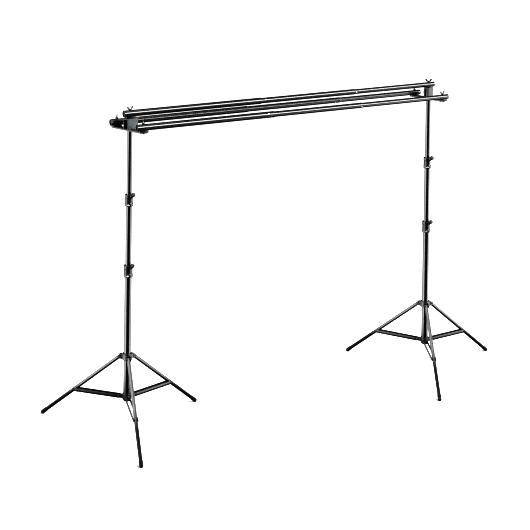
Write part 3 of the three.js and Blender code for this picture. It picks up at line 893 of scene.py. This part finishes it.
def build_bracket(side):
    axis = column_axis(side)
    swivelled = bearing(SWIVEL, axis)
    head = f"{side}_head"
    radius = BAR_RADII[side]
    bottom, _ = height_range(f"{side}_bracket_block")
    top = bottom + BLOCK["height"]
    width, shift = BLOCK_SIZES[side]
    block = block_mesh(f"{side}_block_mesh", width, shift, bottom)
    put(f"{side}_bracket_body", block, "block", head, swivelled, [f"{side}_bracket_block"])
    _, tube_top = height_range(f"{side}_top_tube")
    sleeve_bottom, sleeve_top = bottom + BLOCK["lip"] + 0.05, top - BLOCK["lip"] - 0.05
    sleeve = turned(f"{side}_socket_mesh", [
        (0, sleeve_top), (BLOCK["socket"], sleeve_top), (BLOCK["socket"], sleeve_bottom),
        (BLOCK["bore"], sleeve_bottom), (BLOCK["bore"], tube_top + 0.3), (0, tube_top + 0.3)], 64, 0.3)
    put(f"{side}_bracket_socket", sleeve, "arm", head, swivelled)

    nuts = {bar: pivot_of(f"{side}_{bar}_wing_nut_turn") for bar in BARS}
    reach = (nuts["rear"] - nuts["top"]).to_2d().length / MM
    arm_top, arm_bottom = bottom - 0.3, bottom - 0.3 - ARM_SIZE["thickness"]
    outline = rectangle(ARM_SIZE["width"], 2 * (reach + ARM_SIZE["overhang"]), 5)
    flat = prism(outline, arm_bottom, arm_top, 0.7)
    hole = cylinder(BLOCK["bore"], arm_bottom - 2, arm_top + 2, segments=96)
    arm = machined(f"{side}_arm_mesh", [flat], [hole])
    put(f"{side}_bracket_arm_bar", arm, "arm", head, swivelled, [f"{side}_bracket_arm"])

    for bar in BARS:
        seat = top if bar == "top" else arm_top
        centre = centre_of(f"{bar}_bar_{side}_section")
        rise = centre.z / MM - seat
        spot = Vector((nuts[bar].x, nuts[bar].y, seat * MM))
        saddle = saddle_mesh(f"{side}_{bar}_saddle_mesh", radius, rise)
        put(f"{side}_{bar}_saddle", saddle, "clamp", head, Matrix.Translation(spot))
        stud = threaded_rod(f"{side}_{bar}_stud_mesh", STUD_RADIUS, -2, rise + radius + 11)
        put(f"{side}_{bar}_stud", stud, "zinc", head, Matrix.Translation(spot))
        nut = f"{side}_{bar}_wing_nut"
        foot, _ = height_range(nut)
        spot.z = foot * MM
        put(f"{nut}_forging", WING_NUT, "nut", nut, bearing(NUT_BEARINGS[side][bar], spot), [nut])
        if bar != "top":
            spot.z = arm_bottom * MM
            for label, way in (("a", -1), ("b", 1)):
                beside = Vector((ARM_SCREW_SPREAD["along"], -ARM_SCREW_SPREAD["across"], 0)) * way * MM
                place = bearing(SWIVEL, spot) @ Matrix.Translation(beside)
                put(f"{side}_{bar}_arm_screw_{label}", HEX_HEAD, "zinc", head, place)


# ---------------------------------------------------------------- crossbars

SECTIONS = ("left", "middle", "right")
# Millimetres from the bar's left end, and the turn of each head about the bar from upright.
BAR_RIVETS = {
    "top": ((790, 55), (1343, 90)),
    "rear": ((728, 160), (775, 122), (1296, 130), (1332, 112)),
    "front": ((728, 55), (748, 160), (1288, 105)),
}
LOCK_PIN_REACH = 25


def build_crossbar(bar):
    """Three tubes along local Z, laid on the X axis, with end plugs and the rivets of their joints.

    A head just past a wider tube's lip is a flush pin, which clears that tube when the bar is drawn in.
    """
    for section in SECTIONS:
        node = f"{bar}_bar_{section}_section"
        body = f"{bar}_bar_middle" if section == "middle" else f"{section}_head"
        low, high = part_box(node)
        length = (high.x - low.x) / MM
        radius = BAR_RADII[section]
        inner = radius - BAR_WALLS[section]
        start = Vector((low.x, (low.y + high.y) / 2, (low.z + high.z) / 2))
        lie = facing((1, 0, 0), start)
        mesh = tube(f"{node}_mesh", radius, inner, 0, length)
        put(f"{node}_tube", mesh, "bar", body, lie, [node])
        if section != "middle":
            snug = inner - 0.05
            plug = turned(f"{node}_plug_mesh", [
                (0, 5), (inner * 0.7, 5), (inner * 0.75, 4), (snug, 3.6), (snug, 14), (0, 14),
            ], 64, 0.4)
            at_end = lie
            if section == "right":
                flipped = Matrix.Rotation(math.pi, 4, "X")
                at_end = lie @ Matrix.Translation((0, 0, length * MM)) @ flipped
            put(f"{node}_end_plug", plug, "rubber", body, at_end)
    left_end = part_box(f"{bar}_bar_left_section")[0].x
    left_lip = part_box(f"{bar}_bar_left_section")[1].x
    middle_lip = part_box(f"{bar}_bar_middle_section")[1].x
    centre = centre_of(f"{bar}_bar_left_section")
    for index, (along, turn) in enumerate(BAR_RIVETS[bar]):
        x = left_end + along * MM
        past_lip = any(0 < x - lip < LOCK_PIN_REACH * MM for lip in (left_lip, middle_lip))
        head = FLUSH_PIN if past_lip else SMALL_RIVET
        section = "left" if x < left_lip else "middle" if x < middle_lip else "right"
        body = f"{bar}_bar_middle" if section == "middle" else f"{section}_head"
        out = Matrix.Rotation(math.radians(turn), 3, "X") @ Vector((0, 0, 1))
        spot = Vector((x, centre.y, centre.z)) + out * (BAR_RADII[section] - 0.15) * MM
        put(f"{bar}_bar_rivet_{index}", head, "zinc", body, facing(out, spot, (1, 0, 0)))


# ---------------------------------------------------------------- build the object

def build_object():
    left_knob = axis_of("left_lower_clamp_knob_turn")
    knob_bearing = math.degrees(math.atan2(left_knob.y, left_knob.x))
    clamps = {level: clamp_mesh(f"{level}_clamp_mesh", TUBES[below][0], TUBES[above][0], knob_bearing)
              for level, (below, above) in CLAMPS.items()}
    lock_screw = threaded_rod("lock_screw", 3, -12.5, 1)
    slope = Vector((LEG_RUN, 0, -LEG_DROP))
    leg_place = facing(slope, (COLLAR_PIVOT[0] * MM, 0, COLLAR_PIVOT[1] * MM), (0, 1, 0))
    cup_bottom, _ = height_range("left_base_tube")
    meshes = {
        "collar": collar_mesh(),
        "hub": hub_mesh(cup_bottom - 0.3 - HUB_PIVOT[1]),
        "leg": leg_mesh(),
        "leg_place": leg_place,
        "foot": foot_mesh(leg_place),
        "strap": strap_mesh(),
        "spacer": turned("spacer_mesh", [(0, 0), (5, 0), (5, 0.55), (0, 0.55)], 32, 0.1),
        "pin": turned("pin_mesh", [(0, -12.2), (3, -12.2), (3, 12.2), (0, 12.2)], 32, 0.3),
    }
    for side in SIDES:
        build_column(side, clamps, lock_screw)
        build_tripod(side, meshes)
        build_bracket(side)
    for bar in BARS:
        build_crossbar(bar)


# ---------------------------------------------------------------- stage, light and camera

CAMERA_PLACE = Vector((-3.8920, -6.6377, 3.1917))
CAMERA_YAW = 26.77
CAMERA_PITCH = 1.31
CAMERA_ROLL = 0.73
CAMERA_LENS = 100.753
LENS_SHIFT = {"shift_x": 0.1012, "shift_y": -0.8456}
FLOOR_SIZE = 90
SOFTBOX = {"place": (2.3, -2.9, 4.1), "aim": (0.1, 0.0, 1.5), "width": 5.5, "height": 2.1, "watts": 420}
SIDE_GLOW = {"left": 8.4, "right": 10.5, "back": 1.3}
SIDE_FADE = {"away": (-0.7, 1.1), "power": 1.4}
LEAN = (-0.3, 0.3)
LEFT_EDGE = (-0.85, -0.55)
RIGHT_EDGE = (-0.62, -0.12)
LOW_PANEL_TOP = (0.0, 0.3)
HIGH_PANEL = {"back": (-0.82, -0.72), "low": (0.12, 0.34), "share": 1.3}
CEILING = {"left": (0.88, 0.97), "right": (0.62, 0.74)}
ZENITH = {"from": (0.9, 0.94), "glow": 7.0}
UNDER_FLAG = (-0.75, -0.5)
FRONT_FLAG = {"up": (-0.02, 0.08), "across": (0.3, 0.55)}
DARKEST_GLOW = 0.01
WORLD_STRENGTH = 1.06
LIT_FLOOR = (0.3, 0.8)
FLOOR_WHITES = (0.965, 0.98)
PRINT_GAMMA = 0.6
PIXEL_BLUR = 1.1


def camera_turn():
    yaw, pitch = math.radians(CAMERA_YAW), math.radians(CAMERA_PITCH)
    forward = Vector((math.sin(yaw) * math.cos(pitch), math.cos(yaw) * math.cos(pitch), -math.sin(pitch)))
    roll = Matrix.Rotation(math.radians(CAMERA_ROLL), 3, "Z").to_quaternion()
    return forward.to_track_quat("-Z", "Y") @ roll


def build_camera():
    """A shifted-lens camera, as for upright product pictures. From any other place its shift is nil."""
    data = bpy.data.cameras.new("camera")
    data.lens = CAMERA_LENS
    data.sensor_width = 36
    data.clip_end = 200
    camera = object_from("camera", data)
    camera.location = CAMERA_PLACE
    camera.rotation_mode = "QUATERNION"
    camera.rotation_quaternion = camera_turn()
    bpy.context.scene.camera = camera
    for channel, amount in LENS_SHIFT.items():
        driver = data.driver_add(channel).driver
        place = driver.variables.new()
        place.name = "x"
        place.type = "TRANSFORMS"
        place.targets[0].id = camera
        place.targets[0].transform_type = "LOC_X"
        driver.expression = f"{amount} if abs(x - ({CAMERA_PLACE.x})) < 0.0001 else 0"
    return camera


def build_softbox(camera):
    """A long soft light over the camera's shoulder. It travels with the camera."""
    data = bpy.data.lights.new("softbox", "AREA")
    data.shape = "RECTANGLE"
    data.size, data.size_y = SOFTBOX["width"], SOFTBOX["height"]
    data.energy = SOFTBOX["watts"]
    lamp = object_from("softbox", data)
    place, aim = Vector(SOFTBOX["place"]), Vector(SOFTBOX["aim"])
    lamp.location = place
    lamp.rotation_mode = "QUATERNION"
    lamp.rotation_quaternion = (aim - place).to_track_quat("-Z", "Y")
    lamp.visible_camera = False
    lamp.visible_glossy = False
    bpy.context.view_layer.update()
    world = lamp.matrix_world.copy()
    lamp.parent = camera
    lamp.matrix_parent_inverse = camera.matrix_world.inverted()
    lamp.matrix_world = world


def studio_glow():
    """What reflections see in a direction: white panels at the sides and overhead, between black flags.

    away is the direction's share from the camera's side to the back, across its share to the right.
    """
    group = bpy.data.node_groups.new("studio_glow", "ShaderNodeTree")
    group.interface.new_socket("Direction", in_out="INPUT", socket_type="NodeSocketVector")
    group.interface.new_socket("Strength", in_out="OUTPUT", socket_type="NodeSocketFloat")
    sums = Tree(group)
    direction = sums.add("NodeGroupInput", "Direction", {})
    right = sums.add("ShaderNodeVectorTransform", "Vector", {"Vector": (1, 0, 0)},
                     vector_type="VECTOR", convert_from="CAMERA", convert_to="WORLD")
    forward = sums.add(
        "ShaderNodeVectorMath", "Vector", {0: (0, 0, 1), 1: right}, operation="CROSS_PRODUCT")
    across = sums.dot(direction, right)
    away = sums.dot(direction, forward)
    up = sums.add("ShaderNodeSeparateXYZ", "Z", {"Vector": direction})
    level = sums("SQRT", sums("SUBTRACT", 1.0001, sums("MULTIPLY", up, up)))
    away = sums("DIVIDE", away, level)
    across = sums("DIVIDE", across, level)

    lean = sums.ramp(across, *LEAN)
    from_left = sums("MULTIPLY", sums.ramp(away, *LEFT_EDGE), sums("SUBTRACT", 1.0, lean))
    high = sums("MULTIPLY", sums.ramp(away, *HIGH_PANEL["back"]), sums.ramp(up, *HIGH_PANEL["low"]))
    high = sums("MULTIPLY", high, HIGH_PANEL["share"])
    under_top = sums("SUBTRACT", 1.0, sums.ramp(up, *LOW_PANEL_TOP))
    low = sums("MULTIPLY", sums.ramp(away, *RIGHT_EDGE), under_top)
    from_right = sums("MULTIPLY", sums("MAXIMUM", low, high), lean)
    beside = sums("ADD", from_left, from_right)
    fade = sums("SUBTRACT", 1.0, sums.ramp(away, *SIDE_FADE["away"]))
    fade = sums("POWER", fade, SIDE_FADE["power"])
    side = sums("ADD", SIDE_GLOW["left"], sums("MULTIPLY", lean, SIDE_GLOW["right"] - SIDE_GLOW["left"]))
    panel = sums("ADD", sums("MULTIPLY", side, fade), SIDE_GLOW["back"])
    over_floor = sums.ramp(up, *UNDER_FLAG)
    over_left = sums("MULTIPLY", sums.ramp(up, *CEILING["left"]), sums("SUBTRACT", 1.0, lean))
    over_right = sums("MULTIPLY", sums.ramp(up, *CEILING["right"]), lean)
    under_ceiling = sums("SUBTRACT", 1.0, sums("ADD", over_left, over_right))
    straight = sums("SUBTRACT", 1.0, sums.ramp(sums("ABSOLUTE", across), *FRONT_FLAG["across"]))
    flagged = sums("MULTIPLY", sums.ramp(up, *FRONT_FLAG["up"]), straight)
    clear = sums("SUBTRACT", 1.0, flagged)
    glow = panel
    for share in (beside, over_floor, under_ceiling, clear):
        glow = sums("MULTIPLY", glow, share)
    glow = sums("ADD", glow, sums("MULTIPLY", sums.ramp(up, *ZENITH["from"]), ZENITH["glow"]))
    end = group.nodes.new("NodeGroupOutput")
    sums.feed(end.inputs["Strength"], sums("ADD", glow, DARKEST_GLOW))
    return group


def glow_seen(tree, direction, group):
    """The studio's glow in a direction."""
    return tree.add("ShaderNodeGroup", "Strength", {"Direction": direction}, node_tree=group)


def build_world(group):
    """White to the eye and to soft light; reflections see the studio's panels and flags."""
    world = bpy.data.worlds.new("studio")
    bpy.context.scene.world = world
    world.use_nodes = True
    world.cycles.sampling_method = "NONE"
    tree = Tree(world.node_tree)
    direction = tree.add("ShaderNodeTexCoord", "Generated", {})
    strength = tree.add("ShaderNodeMix", "Result", {
        "Factor": tree.add("ShaderNodeLightPath", "Is Glossy Ray", {}),
        "A": WORLD_STRENGTH,
        "B": glow_seen(tree, direction, group),
    })
    background = tree.nodes["Background"]
    background.inputs["Color"].default_value = (1, 1, 1, 1)
    tree.feed(background.inputs["Strength"], strength)


def build_floor(group):
    """A pale floor to the eye; in reflections it shows the studio's panels and flags."""
    bm = bmesh.new()
    bmesh.ops.create_grid(bm, x_segments=1, y_segments=1, size=FLOOR_SIZE / 2)
    mesh = bpy.data.meshes.new("floor")
    bm.to_mesh(mesh)
    bm.free()
    floor = object_from("floor", mesh)
    floor.location.z = -0.0005
    made = bpy.data.materials.new("pale_floor")
    made.use_nodes = True
    made.cycles.emission_sampling = "NONE"
    tree = Tree(made.node_tree)
    place = tree.add("ShaderNodeTexCoord", "Object", {})
    pale = tree.nodes["Principled BSDF"]
    tree.feed(pale.inputs["Base Color"], tree.spread(tree.noise(place, 3), *FLOOR_WHITES))
    pale.inputs["Roughness"].default_value = 0.9
    pale.inputs["Specular IOR Level"].default_value = 0.0
    incoming = tree.add("ShaderNodeNewGeometry", "Incoming", {})
    direction = tree.add(
        "ShaderNodeVectorMath", "Vector", {"Vector": incoming, "Scale": -1}, operation="SCALE")
    lit = tree.ramp(tree.add("ShaderNodeLightPath", "Ray Length", {}), *LIT_FLOOR)
    strength = tree("MULTIPLY", glow_seen(tree, direction, group), lit)
    glow = tree.add("ShaderNodeEmission", "Emission", {"Strength": strength})
    glossy = tree.add("ShaderNodeLightPath", "Is Glossy Ray", {})
    shown = tree.add("ShaderNodeMixShader", "Shader", {0: glossy, 1: pale.outputs["BSDF"], 2: glow})
    tree.feed(tree.nodes["Material Output"].inputs["Surface"], shown)
    mesh.materials.append(made)


build_object()
studio = studio_glow()
build_floor(studio)
build_world(studio)
build_softbox(build_camera())
bpy.context.scene.view_settings.view_transform = "Standard"
bpy.context.scene.view_settings.gamma = PRINT_GAMMA
bpy.context.scene.cycles.filter_width = PIXEL_BLUR
